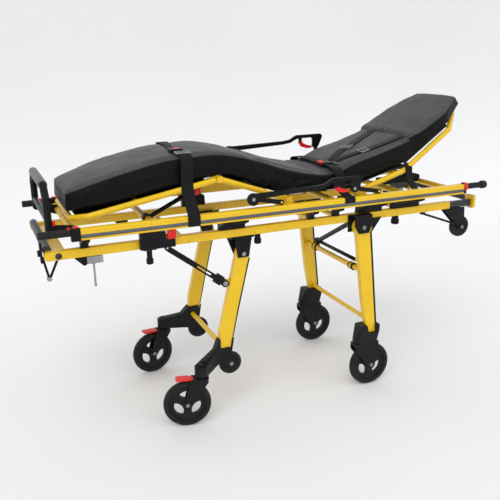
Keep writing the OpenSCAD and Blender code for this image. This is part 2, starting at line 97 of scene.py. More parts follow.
# ---- materials ------------------------------------------------------------------
class Nodes:
    """A material with a few short ways to add nodes."""

    def __init__(self, name):
        self.mat = bpy.data.materials.new(name)
        self.mat.use_nodes = True
        self.tree = self.mat.node_tree
        self.shader = self.tree.nodes["Principled BSDF"]
        self.coords = self.tree.nodes.new("ShaderNodeTexCoord").outputs["Object"]

    def add(self, kind, **inputs):
        node = self.tree.nodes.new("ShaderNode" + kind)
        for key, value in inputs.items():
            socket = node.inputs[key.replace("_", " ")]
            if hasattr(value, "links"):
                self.tree.links.new(value, socket)
            else:
                socket.default_value = value
        return node

    def link(self, out, socket):
        self.tree.links.new(out, self.shader.inputs[socket])

    def noise(self, scale, detail=3, rough=0.55, stretch=None):
        vector = self.coords
        if stretch:
            vector = self.add("Mapping", Vector=self.coords, Scale=stretch).outputs[0]
        return self.add("TexNoise", Vector=vector, Scale=scale, Detail=detail, Roughness=rough).outputs["Fac"]

    def ramp(self, fac, low, high, a, b):
        node = self.add("ValToRGB", Fac=fac)
        node.color_ramp.elements[0].position, node.color_ramp.elements[1].position = low, high
        node.color_ramp.elements[0].color, node.color_ramp.elements[1].color = (*a, 1), (*b, 1)
        return node.outputs["Color"]

    def range(self, fac, low, high, a, b):
        node = self.add("MapRange", Value=fac)
        for socket, value in zip(("From Min", "From Max", "To Min", "To Max"), (low, high, a, b)):
            node.inputs[socket].default_value = value
        return node.outputs[0]

    def bump(self, height, strength, distance, normal=None):
        node = self.add("Bump", Height=height, Strength=strength, Distance=distance)
        if normal is not None:
            self.tree.links.new(normal, node.inputs["Normal"])
        return node.outputs[0]

    def bevel(self, radius):
        node = self.tree.nodes.new("ShaderNodeBevel")
        node.inputs["Radius"].default_value = radius
        return node.outputs[0]

    def mix(self, fac, a, b):
        node = self.tree.nodes.new("ShaderNodeMix")
        node.data_type = "RGBA"
        for socket, value in ((node.inputs["Factor"], fac), (node.inputs[6], a), (node.inputs[7], b)):
            if hasattr(value, "links"):
                self.tree.links.new(value, socket)
            else:
                socket.default_value = value if isinstance(value, float) else (*value, 1)
        return node.outputs[2]

    def attribute(self, name):
        node = self.tree.nodes.new("ShaderNodeAttribute")
        node.attribute_name = name
        return node.outputs["Fac"]


def hard_finish(name, dark, light, rough, grain, grain_depth, metallic=0.0, coat=0.0, bevel=0.0012, worn=None,
                gloss=0.18):
    """Painted metal or moulded plastic: uneven colour, fine grain, softly rounded edges and light wear."""
    n = Nodes(name)
    blotch = n.noise(9, 4)
    colour = n.ramp(blotch, 0.35, 0.68, dark, light)
    if worn:
        colour = n.mix(n.range(n.noise(55, 5), 0.66, 0.74, 0.0, 0.35), colour, worn)
    n.link(colour, "Base Color")
    n.link(n.range(n.noise(26, 5), 0.3, 0.7, rough - 0.05, rough + 0.07), "Roughness")
    n.shader.inputs["Metallic"].default_value = metallic
    n.shader.inputs["Specular IOR Level"].default_value = gloss
    n.shader.inputs["Coat Weight"].default_value = coat
    n.shader.inputs["Coat Roughness"].default_value = 0.18
    n.link(n.bump(n.noise(grain, 2), 0.2, grain_depth, n.bevel(bevel)), "Normal")
    return n.mat


def cover_finish():
    """Coated fabric: slate grey on top, near black on the sides, and soft creases; between top and sides a narrow
    band, part stitching and part painted highlight, darker than the top and lighter than the sides.
    """
    n = Nodes("mattress_cover")
    edge = n.attribute("below_edge")
    side = n.range(edge, 0.0095, 0.0105, 0.0, 1.0)
    # A narrow band 7.5 to 11.5 mm below the top edge: partly a dark stitched line against the grey top, partly a
    # painted highlight along the edge, lighter than the black side.
    seam_and_highlight_start = n.mix(n.range(edge, 0.0075, 0.0088, 0.0, 1.0), (0.0, 0.0, 0.0), (1.0, 1.0, 1.0))
    seam_and_highlight_end = n.mix(n.range(edge, 0.0100, 0.0115, 0.0, 1.0), (1.0, 1.0, 1.0), (0.0, 0.0, 0.0))
    top = n.ramp(n.noise(7, 5), 0.3, 0.7, (0.056, 0.058, 0.061), (0.074, 0.0765, 0.080))
    low = n.ramp(n.noise(11, 4), 0.3, 0.7, (0.0022, 0.0023, 0.0026), (0.0042, 0.0043, 0.0048))
    band = n.tree.nodes.new("ShaderNodeMath")
    band.operation = "MULTIPLY"
    n.tree.links.new(seam_and_highlight_start, band.inputs[0])
    n.tree.links.new(seam_and_highlight_end, band.inputs[1])
    # The band's colour: dark stitching against the top, and a painted highlight against the near-black side.
    colour = n.mix(band.outputs[0], n.mix(side, top, low), (0.012, 0.0125, 0.013))
    n.link(colour, "Base Color")
    n.link(n.range(n.noise(15, 4), 0.3, 0.7, 0.38, 0.52), "Roughness")
    n.shader.inputs["Specular IOR Level"].default_value = 0.14
    n.shader.inputs["Sheen Weight"].default_value = 0.015
    n.shader.inputs["Sheen Roughness"].default_value = 0.4
    grain = n.add("TexVoronoi", Vector=n.coords, Scale=900.0).outputs["Distance"]
    fine = n.bump(grain, 0.18, 0.0004)
    crease = n.bump(n.noise(24, 5, 0.6, (1.0, 2.2, 1.0)), 0.30, 0.004, fine)
    stitch = n.bump(band.outputs[0], 0.6, -0.0015, crease)
    n.link(stitch, "Normal")
    return n.mat


def webbing_finish(name, dark, light):
    n = Nodes(name)
    along = n.attribute("along")
    across = n.attribute("across")
    vector = n.tree.nodes.new("ShaderNodeCombineXYZ")
    n.tree.links.new(along, vector.inputs[0])
    n.tree.links.new(across, vector.inputs[1])
    ribs = n.add("TexWave", Vector=vector.outputs[0], Scale=180.0, Distortion=0.4, Detail=1.0)
    ribs.bands_direction = "X"
    yarn = n.add("TexWave", Vector=vector.outputs[0], Scale=95.0, Distortion=0.6, Detail=1.0)
    yarn.bands_direction = "Y"
    n.link(n.mix(n.range(ribs.outputs["Fac"], 0.2, 0.9, 0.0, 1.0), dark, light), "Base Color")
    n.shader.inputs["Roughness"].default_value = 0.62
    n.shader.inputs["Specular IOR Level"].default_value = 0.2
    n.shader.inputs["Sheen Weight"].default_value = 0.04
    n.link(n.bump(yarn.outputs["Fac"], 0.4, 0.0005, n.bump(ribs.outputs["Fac"], 0.5, 0.0006)), "Normal")
    return n.mat


def rubber_finish(name, dark, light, rough=0.62):
    n = Nodes(name)
    n.link(n.ramp(n.noise(18, 4), 0.3, 0.7, dark, light), "Base Color")
    n.link(n.range(n.noise(60, 3), 0.3, 0.7, rough - 0.08, rough + 0.1), "Roughness")
    n.shader.inputs["Specular IOR Level"].default_value = 0.25
    n.link(n.bump(n.noise(420, 2), 0.25, 0.0003, n.bevel(0.001)), "Normal")
    return n.mat


YELLOW = hard_finish("yellow_paint", (0.84, 0.520, 0.001), (0.90, 0.575, 0.002), 0.28, 240, 0.0001, coat=0.25,
                     bevel=0.0016, worn=(0.74, 0.43, 0.004), gloss=0.4)
DARK_TUBE = hard_finish("dark_grey_tube", (0.045, 0.047, 0.05), (0.065, 0.067, 0.07), 0.36, 300, 0.0001)
BLACK_METAL = hard_finish("black_metal", (0.0040, 0.0042, 0.0047), (0.0070, 0.0072, 0.0078), 0.33, 340, 0.0002,
                          bevel=0.0018, worn=(0.025, 0.025, 0.026))
BLACK_CAST = hard_finish("black_cast", (0.0065, 0.0068, 0.0073), (0.0110, 0.0114, 0.0122), 0.42, 420, 0.0005,
                         bevel=0.0028, worn=(0.032, 0.032, 0.034))
BLACK_PLASTIC = hard_finish("black_plastic", (0.0040, 0.0042, 0.0047), (0.0072, 0.0074, 0.0080), 0.38, 600, 0.0002)
GREY_PLASTIC = hard_finish("grey_plastic", (0.105, 0.110, 0.118), (0.150, 0.156, 0.165), 0.40, 500, 0.0002)
RED_PLASTIC = hard_finish("red_plastic", (0.72, 0.014, 0.010), (0.84, 0.024, 0.017), 0.30, 420, 0.0001, coat=0.3)
STEEL = hard_finish("steel", (0.30, 0.30, 0.31), (0.48, 0.48, 0.49), 0.28, 380, 0.0001, metallic=1.0)
HUB_GREY = hard_finish("hub_grey", (0.0085, 0.0088, 0.0095), (0.0150, 0.0155, 0.0165), 0.34, 520, 0.0002)
RUBBER = rubber_finish("tyre_rubber", (0.0070, 0.0073, 0.0080), (0.0120, 0.0124, 0.0132), 0.52)
SOFT_RUBBER = rubber_finish("grip_rubber", (0.0085, 0.0087, 0.0094), (0.0145, 0.0148, 0.0155), 0.50)
COVER = cover_finish()
WEBBING = webbing_finish("webbing", (0.0045, 0.0047, 0.0052), (0.0150, 0.0154, 0.0165))
DARK_WEBBING = webbing_finish("dark_webbing", (0.0025, 0.0026, 0.0029), (0.0075, 0.0077, 0.0083))
BY_SLOT = {"yellow_paint": YELLOW, "dark_grey_tube": DARK_TUBE, "black_metal": BLACK_METAL,
           "black_plastic": BLACK_PLASTIC, "steel": STEEL, "red_plastic": RED_PLASTIC, "wheel_grey": RUBBER,
           "mattress_cover": COVER, "webbing": WEBBING}
CAST = ("foot_caster_arms", "head_caster_sockets", "foot_fork_left", "foot_fork_right", "head_fork_left",
        "head_fork_right", "loading_wheel_brackets")
BLACK_NODES = ("dock_fitting",)


def finish_cad_nodes():
    for part in frame["record"]["subparts"]:
        obj = frame["nodes"][part["node"]]
        mat = BLACK_CAST if part["node"] in CAST else BY_SLOT[part["material_slot"]]
        mat = BLACK_METAL if part["node"] in BLACK_NODES else mat
        for slot in obj.material_slots:
            slot.link = "OBJECT"
            slot.material = mat


# ---- mesh helpers ------------------------------------------------------------------
def make_mesh(name, verts, faces, mat, smooth=True, attributes=None):
    mesh = bpy.data.meshes.new(name)
    mesh.from_pydata([tuple(v) for v in verts], [], faces)
    mesh.update()
    bm = bmesh.new()
    bm.from_mesh(mesh)
    bmesh.ops.recalc_face_normals(bm, faces=bm.faces)
    bm.to_mesh(mesh)
    bm.free()
    if smooth:
        mesh.shade_smooth()
    for key, values in (attributes or {}).items():
        mesh.attributes.new(key, "FLOAT", "POINT").data.foreach_set("value", values)
    mesh.materials.append(mat)
    obj = bpy.data.objects.new(name, mesh)
    bpy.context.collection.objects.link(obj)
    return obj


def apply_modifiers(obj):
    deps = bpy.context.evaluated_depsgraph_get()
    mesh = bpy.data.meshes.new_from_object(obj.evaluated_get(deps))
    obj.modifiers.clear()
    obj.data = mesh
    return obj


def bevelled(obj, width, segments=3):
    mod = obj.modifiers.new("bevel", "BEVEL")
    mod.width, mod.segments, mod.limit_method = width, segments, "ANGLE"
    mod.angle_limit = math.radians(35)
    mod.harden_normals = True
    return apply_modifiers(obj)


def rings_mesh(name, rings, mat, closed_ends=True, smooth=True):
    n = len(rings[0])
    verts = [p for ring in rings for p in ring]
    faces = []
    for i in range(len(rings) - 1):
        for k in range(n):
            a, b = i * n + k, i * n + (k + 1) % n
            faces.append((a, b, b + n, a + n))
    if closed_ends:
        faces.append(tuple(range(n - 1, -1, -1)))
        faces.append(tuple((len(rings) - 1) * n + k for k in range(n)))
    return make_mesh(name, verts, faces, mat, smooth)


def frame_axes(axis):
    axis = Vector(axis).normalized()
    side = axis.orthogonal().normalized()
    return axis, side, axis.cross(side)


def lathe(name, profile, at, axis, mat, segments=64):
    """Profile is (radius, distance along the axis) pairs, closed if it ends where it began."""
    w, u, v = frame_axes(axis)
    rings = []
    for i in range(segments):
        a = 2 * math.pi * i / segments
        rings.append([Vector(at) + r * (math.cos(a) * u + math.sin(a) * v) + h * w for r, h in profile])
    n = len(profile)
    verts = [p for ring in rings for p in ring]
    faces = []
    for i in range(segments):
        j = (i + 1) % segments
        for k in range(n - 1):
            faces.append((i * n + k, j * n + k, j * n + k + 1, i * n + k + 1))
    obj = make_mesh(name, verts, faces, mat)
    bm = bmesh.new()
    bm.from_mesh(obj.data)
    bmesh.ops.remove_doubles(bm, verts=bm.verts, dist=1e-6)
    bmesh.ops.recalc_face_normals(bm, faces=bm.faces)
    bm.to_mesh(obj.data)
    bm.free()
    sharp_shading(obj, 40)
    return obj


def sharp_shading(obj, degrees):
    bm = bmesh.new()
    bm.from_mesh(obj.data)
    for edge in bm.edges:
        if len(edge.link_faces) == 2 and edge.calc_face_angle(0) > math.radians(degrees):
            edge.smooth = False
    for face in bm.faces:
        face.smooth = True
    bm.to_mesh(obj.data)
    bm.free()


def rounded_box(name, low, high, mat, radius=0.002, segments=3):
    low, high = Vector(low), Vector(high)
    verts = [(x, y, z) for x in (low.x, high.x) for y in (low.y, high.y) for z in (low.z, high.z)]
    faces = [(0, 1, 3, 2), (4, 6, 7, 5), (0, 4, 5, 1), (2, 3, 7, 6), (0, 2, 6, 4), (1, 5, 7, 3)]
    return bevelled(make_mesh(name, verts, faces, mat), radius, segments)


def plate_y(name, outline, y0, y1, mat, radius=0.0015):
    """An x-z outline made thick in y, with rounded edges."""
    n = len(outline)
    verts = [(x, y, z) for y in (y0, y1) for x, z in outline]
    faces = [tuple(range(n)), tuple(range(2 * n - 1, n - 1, -1))]
    faces += [(k, (k + 1) % n, (k + 1) % n + n, k + n) for k in range(n)]
    return bevelled(make_mesh(name, verts, faces, mat), radius, 2)


def smooth_path(points, step):
    """A Catmull-Rom path through the points, at an even step."""
    pts = [Vector(p) for p in points]
    pts = [2 * pts[0] - pts[1]] + pts + [2 * pts[-1] - pts[-2]]
    out = []
    for i in range(1, len(pts) - 2):
        count = max(2, int((pts[i + 1] - pts[i]).length / step))
        for k in range(count):
            t = k / count
            a, b, c, d = pts[i - 1:i + 3]
            out.append(0.5 * (2 * b + (c - a) * t + (2 * a - 5 * b + 4 * c - d) * t * t
                              + (3 * b - a - 3 * c + d) * t ** 3))
    out.append(pts[-2])
    return out


PADS = []


def surface_over(points, direction, lift):
    """Each point moved along the direction to lie just off the mattress, where the mattress is near."""
    d = Vector(direction).normalized()
    trees = [BVHTree.FromPolygons([v.co for v in o.data.vertices], [tuple(p.vertices) for p in o.data.polygons])
             for o in PADS]
    out = []
    for p in points:
        hits = [t.ray_cast(p + d * 0.06, -d, 0.12)[0] for t in trees]
        hits = [h for h in hits if h is not None]
        best = max(hits, key=lambda h: h.dot(d)) if hits else None
        out.append(best + d * lift if best is not None else p)
    return out


def band(name, points, face_normal, width, mat, step=0.008, widths=None, over=None):
    """A strip of webbing along the points. face_normal is one vector, or one for each point given.
    over is the direction in which it is laid on the mattress."""
    path = smooth_path(points, step)
    if over:
        path = surface_over(path, over, 0.0028)
    single = not isinstance(face_normal[0], (tuple, list, Vector))
    normals = [Vector(face_normal)] * len(points) if single else [Vector(v) for v in face_normal]
    keys = np.cumsum([0] + [(Vector(points[i + 1]) - Vector(points[i])).length for i in range(len(points) - 1)])
    travel = np.cumsum([0] + [(path[i + 1] - path[i]).length for i in range(len(path) - 1)])
    travel *= keys[-1] / travel[-1]
    cols = 7
    verts, along, across = [], [], []
    for i, p in enumerate(path):
        t = (path[min(i + 1, len(path) - 1)] - path[max(i - 1, 0)]).normalized()
        k = min(int(np.searchsorted(keys, travel[i], side="right")) - 1, len(points) - 2)
        f = (travel[i] - keys[k]) / (keys[k + 1] - keys[k])
        n = normals[k] * (1 - f) + normals[k + 1] * f
        n = (n - t * n.dot(t)).normalized()
        s = t.cross(n)
        w = width if widths is None else widths[k] * (1 - f) + widths[k + 1] * f
        ring = [(-1, 0)] + [(-0.94 + 1.88 * c / (cols - 1), 1) for c in range(cols)] + [(1, 0)] + \
               [(0.94 - 1.88 * c / (cols - 1), -1) for c in range(cols)]
        for a, h in ring:
            verts.append(p + s * (a * w / 2) + n * (h * WEB_THICK / 2))
            along.append(travel[i])
            across.append(a * w / 2)
    m = 2 * cols + 2
    faces = []
    for i in range(len(path) - 1):
        for k in range(m):
            a, b = i * m + k, i * m + (k + 1) % m
            faces.append((a, b, b + m, a + m))
    faces.append(tuple(range(m - 1, -1, -1)))
    faces.append(tuple((len(path) - 1) * m + k for k in range(m)))
    return make_mesh(name, verts, faces, mat, True, {"along": along, "across": across})


def round_rod(name, a, b, r, mat, segments=32, dome=0.3):
    a, b = Vector(a), Vector(b)
    length = (b - a).length
    d = min(r * dome, length * 0.3)
    profile = [(0, 0), (r - d, 0), (r - 0.3 * d, 0.3 * d), (r, d), (r, length - d), (r - 0.3 * d, length - 0.3 * d),
               (r - d, length), (0, length)]
    return lathe(name, profile, a, b - a, mat, segments)


def put(obj, body):
    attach(obj, body)
    return obj


# ---- wheels ------------------------------------------------------------------
def caster_wheel(name, at, axis, body):
    half = [(0.0785, 0.013), (0.080, 0.0148), (0.086, 0.0152), (0.092, 0.0144), (0.0965, 0.0118), (0.099, 0.0082),
            (0.0998, 0.0045)]
    tyre = [(r, -h) for r, h in half] + [(CASTER_R, 0.0)] + half[::-1] + [(half[0][0], -half[0][1])]
    tread = put(lathe(name + ".tyre", tyre, at, axis, RUBBER, 128), body)
    half = [(0.0064, 0.018), (0.013, 0.018), (0.0185, 0.0168), (0.0205, 0.009), (0.025, 0.0068), (0.068, 0.0068),
            (0.0715, 0.0085), (0.0735, 0.0132), (0.0765, 0.0139), (0.0784, 0.013)]
    hub = [(r, -h) for r, h in half] + half[::-1] + [(half[0][0], -half[0][1])]
    disc = lathe(name + ".hub", hub, at, axis, HUB_GREY, 96)
    cut_lenses(disc, at, axis, body)
    put(disc, body)
    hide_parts(name)


def cut_lenses(disc, at, axis, body):
    """Three leaf-shaped openings between the spokes, their long axis round the wheel."""
    w = Vector(axis).normalized()
    up = (Vector((0, 0, 1)) - w * w.z).normalized()
    side = w.cross(up)
    leaf_r, leaf_off, centre = 0.040, 0.023, 0.042
    half = math.acos(leaf_off / leaf_r)
    verts, faces = [], []
    for i in range(3):
        turn = math.radians(90 + 120 * i) - math.pi / 2
        radial = math.cos(turn) * up + math.sin(turn) * side
        tangent = w.cross(radial)
        arc = [(leaf_r * math.sin(t), leaf_r * math.cos(t) - leaf_off) for t in np.linspace(-half, half, 15)]
        leaf = arc + [(-x, -y) for x, y in arc[1:-1]]
        base = len(verts)
        for h in (-0.03, 0.03):
            verts += [Vector(at) + h * w + radial * (centre + y) + tangent * x for x, y in leaf]
        n = len(leaf)
        faces += [tuple(base + k for k in range(n)), tuple(base + n + k for k in range(n - 1, -1, -1))]
        faces += [(base + k, base + (k + 1) % n, base + n + (k + 1) % n, base + n + k) for k in range(n)]
    cutter = make_mesh("leaf_cutter", verts, faces, HUB_GREY, False)
    mod = disc.modifiers.new("openings", "BOOLEAN")
    mod.operation, mod.object, mod.solver = "DIFFERENCE", cutter, "EXACT"
    apply_modifiers(disc)
    bpy.data.objects.remove(cutter)
    sharp_shading(disc, 40)


def small_wheel(name, at, axis, body, half):
    r = SMALL_R
    tyre = [(0.0345, -half + 0.001), (0.038, -half), (0.045, -half + 0.0006), (0.0485, -half + 0.0035),
            (r, -half + 0.008), (r, half - 0.008), (0.0485, half - 0.0035), (0.045, half - 0.0006),
            (0.038, half), (0.0345, half - 0.001), (0.0345, -half + 0.001)]
    hub = [(0.0055, -half), (0.012, -half), (0.0135, -half + 0.003), (0.029, -half + 0.003), (0.031, -half + 0.0005),
           (0.0343, -half + 0.0005), (0.0343, half - 0.0005), (0.031, half - 0.0005), (0.029, half - 0.003),
           (0.0135, half - 0.003), (0.012, half), (0.0055, half), (0.0055, -half)]
    tread = put(lathe(name + ".tyre", tyre, at, axis, RUBBER, 96), body)
    put(lathe(name + ".hub", hub, at, axis, HUB_GREY, 64), body)
    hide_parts(name)


def make_wheels():
    for side, s in SIDES:
        for end in ("foot", "head"):
            j = f"{end}_wheel_{side}_roll"
            caster_wheel(f"{end}_wheel_{side}", joint_at(j), joint_axis(j), f"{end}_wheel_{side}")
        j = f"small_wheel_{side}_roll"
        small_wheel(f"small_wheel_{side}", joint_at(j), joint_axis(j), f"small_wheel_{side}", 0.012)
        j = f"loading_wheel_{side}_roll"
        small_wheel(f"loading_wheel_{side}", joint_at(j), joint_axis(j), f"loading_wheel_{side}", 0.013)


# ---- mattress ------------------------------------------------------------------
# Each rib is (bottom x, bottom z, top x, top z, half width), in metres, from the foot end to the head.
LEG_RIBS = [(-0.876, 0.928, -0.873, 1.010, 0.167), (-0.850, 0.931, -0.842, 1.022, 0.178),
            (-0.700, 0.957, -0.690, 1.069, 0.2125), (-0.499, 0.993, -0.492, 1.110, 0.2135),
            (-0.385, 1.013, -0.376, 1.118, 0.2135), (-0.300, 1.024, -0.296, 1.121, 0.2135),
            (-0.262, 1.028, -0.250, 1.116, 0.2135), (-0.190, 1.003, -0.178, 1.101, 0.2135),
            (-0.135, 0.983, -0.122, 1.085, 0.2135)]
SEAT_RIBS = [(-0.135, 0.983, -0.122, 1.085, 0.2135), (-0.070, 0.957, -0.058, 1.064, 0.2135),
             (0.000, 0.936, 0.008, 1.040, 0.2135), (0.100, 0.933, 0.100, 1.014, 0.2135),
             (0.180, 0.933, 0.172, 1.000, 0.2135)]
TORSO_RIBS = [(0.180, 0.933, 0.172, 1.000, 0.2135), (0.270, 0.933, 0.246, 0.996, 0.2135),
              (0.330, 0.935, 0.292, 1.010, 0.2135), (0.400, 0.948, 0.358, 1.035, 0.2150),
              (0.500, 0.978, 0.465, 1.064, 0.2170), (0.612, 1.012, 0.580, 1.098, 0.2200),
              (0.682, 1.060, 0.648, 1.121, 0.219)]
HEAD_RIBS = [(0.634, 1.032, 0.624, 1.104, 0.196), (0.643, 1.036, 0.631, 1.127, 0.213),
             (0.690, 1.066, 0.672, 1.148, 0.2270), (0.770, 1.122, 0.755, 1.194, 0.2290),
             (0.822, 1.160, 0.812, 1.226, 0.2200), (0.872, 1.196, 0.862, 1.256, 0.194),
             (0.944, 1.243, 0.916, 1.288, 0.150)]
SHRINK = 0.004
CROWN = 0.009


def rib_at(ribs, u):
    """The rib at u along the section, smoothly between the ones given."""
    pts = np.array(ribs)
    steps = np.cumsum([0] + [float(np.hypot(*(pts[i + 1, 2:4] - pts[i, 2:4]))) for i in range(len(pts) - 1)])
    steps /= steps[-1]
    k = min(int(np.searchsorted(steps, u, side="right")) - 1, len(pts) - 2)
    t = (u - steps[k]) / (steps[k + 1] - steps[k])
    a, b = pts[max(k - 1, 0)], pts[min(k + 2, len(pts) - 1)]
    p, q = pts[k], pts[k + 1]
    slope_p = (q - a) / max(steps[k + 1] - steps[max(k - 1, 0)], 1e-6) * (steps[k + 1] - steps[k])
    slope_q = (b - p) / max(steps[min(k + 2, len(pts) - 1)] - steps[k], 1e-6) * (steps[k + 1] - steps[k])
    h = [2 * t ** 3 - 3 * t ** 2 + 1, t ** 3 - 2 * t ** 2 + t, 3 * t ** 2 - 2 * t ** 3, t ** 3 - t ** 2]
    return h[0] * p + h[1] * slope_p + h[2] * q + h[3] * slope_q


def section_ring(rib, crown):
    """Points round one cross-section: flat base, drawn-in sides, rounded top edges, crowned top."""
    xb, zb, xt, zt, w = rib
    ring = []
    height = math.hypot(xt - xb, zt - zb)
    edge, foot = 0.013, 0.008

    def point(y, f, lift=0.0):
        return Vector((xb + (xt - xb) * f, y, zb + (zt - zb) * f + lift))

    for y in np.linspace(-w + foot, w - foot, 11):
        ring.append(point(y, 0))
    for y_in, f in ((0.002, 0.35 * foot / height), (0.0, foot / height), (0.0015, 0.35), (0.002, 0.6),
                    (0.0008, 1 - edge / height), (0.003, 1 - 0.35 * edge / height)):
        ring.append(point(w - y_in, f))
    for y in np.linspace(w - edge * 0.8, -w + edge * 0.8, 17):
        ring.append(point(y, 1, crown * (1 - (y / w) ** 2)))
    for y_in, f in ((0.003, 1 - 0.35 * edge / height), (0.0008, 1 - edge / height), (0.002, 0.6), (0.0015, 0.35),
                    (0.0, foot / height), (0.002, 0.35 * foot / height)):
        ring.append(point(-w + y_in, f))
    return ring


def swell(obj, cap, keep_ends):
    """Remesh, inflate as cloth, cap how far a point moved, and leave the joined ends alone."""
    mod = obj.modifiers.new("remesh", "REMESH")
    mod.mode, mod.voxel_size, mod.use_smooth_shade = "VOXEL", 0.006, True
    apply_modifiers(obj)
    start = np.array([v.co for v in obj.data.vertices])
    cloth = obj.modifiers.new("cloth", "CLOTH")
    cloth.settings.use_pressure = True
    cloth.settings.uniform_pressure_force = 4.0
    cloth.settings.tension_stiffness = 25
    cloth.settings.compression_stiffness = 25
    cloth.settings.shear_stiffness = 15
    cloth.settings.bending_stiffness = 2.0
    cloth.settings.quality = 5
    cloth.settings.effector_weights.gravity = 0
    cloth.collision_settings.use_collision = False
    cloth.point_cache.frame_start, cloth.point_cache.frame_end = 1, 20
    for f in range(1, 21):
        bpy.context.scene.frame_set(f)
    apply_modifiers(obj)
    moved = np.array([v.co for v in obj.data.vertices]) - start
    size = np.linalg.norm(moved, axis=1, keepdims=True) + 1e-9
    moved *= np.minimum(1, cap / size)
    ends = np.ones(len(start))
    for x in keep_ends:
        ends *= np.clip(np.abs(start[:, 0] - x) / 0.03, 0, 1)
    moved *= ends[:, None]
    obj.data.vertices.foreach_set("co", (start + moved).ravel())
    bpy.context.scene.frame_set(1)
    sub = obj.modifiers.new("subdivision", "SUBSURF")
    sub.levels = sub.render_levels = 1
    apply_modifiers(obj)


def pad(name, ribs, nodes, keep_ends=(), folds=None, cap=0.007, crown=CROWN):
    inner = [(b, z + SHRINK, t, tz - SHRINK, w - SHRINK) for b, z, t, tz, w in ribs]
    rings = [section_ring(rib_at(inner, u), crown) for u in np.linspace(0, 1, 48)]
    obj = rings_mesh(name, rings, COVER)
    obj.modifiers.new("triangulate", "TRIANGULATE")
    apply_modifiers(obj)
    swell(obj, cap, keep_ends)
    fine = [rib_at(ribs, u) for u in np.linspace(0, 1, 240)]
    tops = np.array([(r[2], r[3], r[0], r[1]) for r in fine])
    co = np.array([v.co for v in obj.data.vertices])
    below = np.empty(len(co))
    for i in range(0, len(co), 4000):
        part = co[i:i + 4000]
        lean = (part[:, 2:3] - tops[None, :, 3]) / (tops[None, :, 1] - tops[None, :, 3])
        x_line = tops[None, :, 2] + (tops[None, :, 0] - tops[None, :, 2]) * lean
        k = np.argmin(np.abs(x_line - part[:, 0:1]), axis=1)
        below[i:i + 4000] = tops[k, 1] - part[:, 2]
        if folds:
            lo, hi, depth, pitch = folds
            for n in range(len(part)):
                v = obj.data.vertices[i + n]
                if lo < v.co.x < hi and below[i + n] > 0.008 and abs(v.co.y) > 0.19:
                    fade = min(1, (v.co.x - lo) / 0.06, (hi - v.co.x) / 0.06)
                    deep = min(1, (below[i + n] - 0.008) / 0.03)
                    wave = math.sin(v.co.x / pitch * 2 * math.pi + 1.7 * noise.noise(v.co * 9))
                    v.co.y -= math.copysign(depth * fade * deep * (0.5 + 0.5 * wave), v.co.y)
    attribute = obj.data.attributes.new("below_edge", "FLOAT", "POINT")
    attribute.data.foreach_set("value", below)
    obj.data.materials.clear()
    obj.data.materials.append(COVER)
    obj.data.shade_smooth()
    PADS.append(obj)
    if nodes:
        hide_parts(*nodes)
    return obj


def past(ribs, reach):
    """One more rib, a little past the last, so that two sections run into each other."""
    a, b = ribs[-2], ribs[-1]
    t = reach / math.hypot(b[2] - a[2], b[3] - a[3])
    return tuple(q + (q - p) * t for p, q in zip(a, b))


def make_mattress():
    join_a, join_b = -0.128, 0.176
    over = 0.007
    legs = pad("mattress_legs", LEG_RIBS + [past(LEG_RIBS, over)], ("calf_pad",), keep_ends=(join_a,))
    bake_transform(legs)
    seat_ribs = [past(SEAT_RIBS[::-1], over)] + SEAT_RIBS + [past(SEAT_RIBS, over)]
    seat = pad("mattress_seat", seat_ribs, ("thigh_pad",), keep_ends=(join_a, join_b),
               folds=(-0.13, 0.18, 0.004, 0.034))
    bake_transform(seat)
    torso_ribs = [past(TORSO_RIBS[::-1], over)] + TORSO_RIBS
    torso = pad("mattress_torso", torso_ribs, ("seat_pad",), keep_ends=(join_b,), folds=(0.18, 0.33, 0.004, 0.036))
    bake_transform(torso)
    head = pad("mattress_head", HEAD_RIBS, ("back_pad",), cap=0.005, crown=0.006)
    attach(head, "backrest")


# ---- straps and harness ------------------------------------------------------------
def ladder_buckle(name, at, along, normal, width, mat, body):
    """A three-bar slide: a flat frame with two slots."""
    along, normal = Vector(along).normalized(), Vector(normal).normalized()
    side = along.cross(normal)
    r = 0.0022
    long_half, half = 0.017, width / 2 + 0.004
    pieces = []
    for f in (-1, 0, 1):
        pieces.append((along * long_half * f - side * half, along * long_half * f + side * half))
    for f in (-1, 1):
        pieces.append((side * half * f - along * long_half, side * half * f + along * long_half))
    objs = [round_rod(f"{name}.bar{i}", Vector(at) + a, Vector(at) + b, r, mat, 16, 0.6)
            for i, (a, b) in enumerate(pieces)]
    for o in objs:
        put(o, body)


